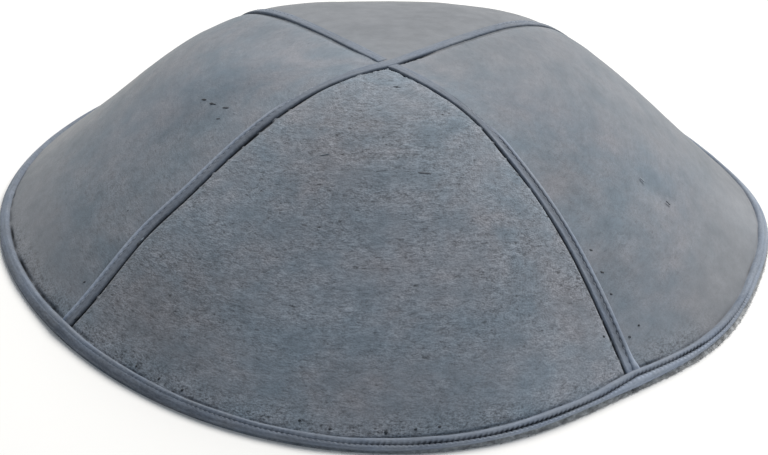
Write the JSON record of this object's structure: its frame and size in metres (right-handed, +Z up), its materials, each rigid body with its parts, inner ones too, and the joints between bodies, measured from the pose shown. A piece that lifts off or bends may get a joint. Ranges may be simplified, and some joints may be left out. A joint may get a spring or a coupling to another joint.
{
  "type": "kippah skullcap",
  "caption": "Shallow brimless suede cap sewn from triangular panels, with narrow folded trims over its seams and round its rim, open underneath.",
  "frame": {"origin": "on the plane of the lower edge, in the middle of the cap's outline", "axes": "+Z up through the crown; -Y towards the front of the cap as pictured; +X to its right in that view"},
  "size_m": [0.1846, 0.1838, 0.0409],
  "materials": {
    "suede": "matt grey suede with a short nap",
    "trim": "smooth matt blue-grey folded strip",
    "thread": "light grey sewing thread"
  },
  "bodies": {
    "root": {"panel_front": "suede", "panel_right": "suede", "panel_back": "suede", "panel_left": "suede", "seam_trim_long": "trim", "seam_trim_front": "trim", "seam_trim_back": "trim", "rim_trim": "trim"}
  },
  "joints": []
}
